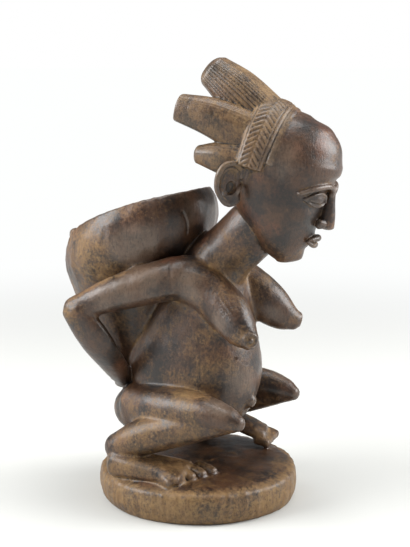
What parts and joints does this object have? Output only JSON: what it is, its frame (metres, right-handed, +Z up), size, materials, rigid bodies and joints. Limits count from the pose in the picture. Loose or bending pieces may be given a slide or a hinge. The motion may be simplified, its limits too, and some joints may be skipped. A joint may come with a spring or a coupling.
{
  "type": "carved squatting figure with bowl",
  "caption": "Carved dark wood figure of a woman squatting on a round base, leaning forward, with a bowl carried on her back.",
  "frame": {"origin": "centre of the round base's underside", "axes": "+Z up through the base; the figure faces -Y; her right side is at -X"},
  "size_m": [0.2146, 0.2978, 0.4483],
  "materials": {
    "patinated_wood": "old dark brown hand-polished patina with ochre dust in the recesses"
  },
  "bodies": {
    "root": {"squatting_figure": "patinated_wood"}
  },
  "joints": []
}
